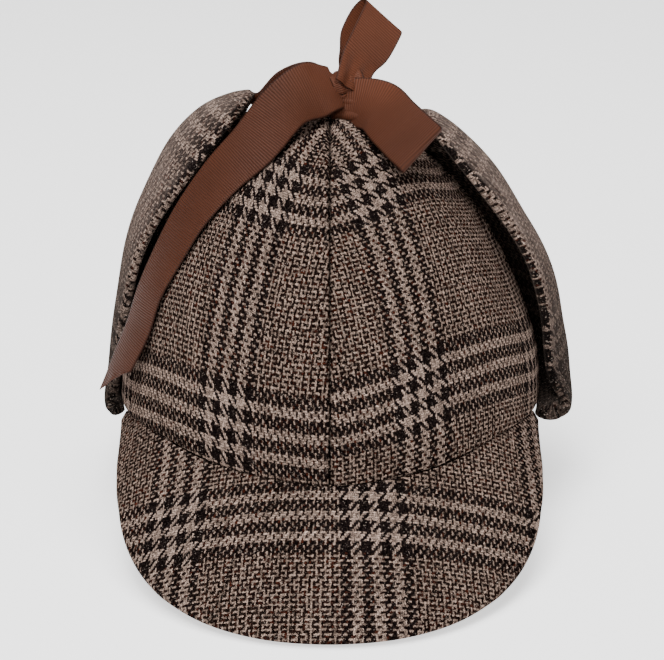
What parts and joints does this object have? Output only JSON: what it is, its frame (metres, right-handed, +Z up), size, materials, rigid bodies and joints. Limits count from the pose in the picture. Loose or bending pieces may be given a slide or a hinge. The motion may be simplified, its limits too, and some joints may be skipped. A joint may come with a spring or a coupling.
{
  "type": "deerstalker hat",
  "caption": "Soft tweed deerstalker hat in brown glen check with a stiff peak at the front and back, padded ear flaps folded up and tied on top of the crown with a brown ribbon bow.",
  "frame": {"origin": "bottom centre of the hat's bounding box, on the surface that its two peaks rest on", "axes": "-Y to the front of the hat, +X to the right as seen from the front, +Z up"},
  "size_m": [0.2, 0.297, 0.2115],
  "materials": {
    "tweed": "matt wool twill in a glen check",
    "ribbon": "ribbed grosgrain with a low sheen"
  },
  "bodies": {
    "root": {"crown_front_left": "tweed", "crown_front_right": "tweed", "crown_back_left": "tweed", "crown_back_right": "tweed", "front_peak": "tweed", "back_peak": "tweed", "left_ear_flap": "tweed", "right_ear_flap": "tweed", "tie_left": "ribbon", "tie_right": "ribbon", "bow_knot": "ribbon", "bow_loop_upper": "ribbon", "bow_loop_lower": "ribbon", "tail_left": "ribbon", "tail_back": "ribbon"}
  },
  "joints": []
}
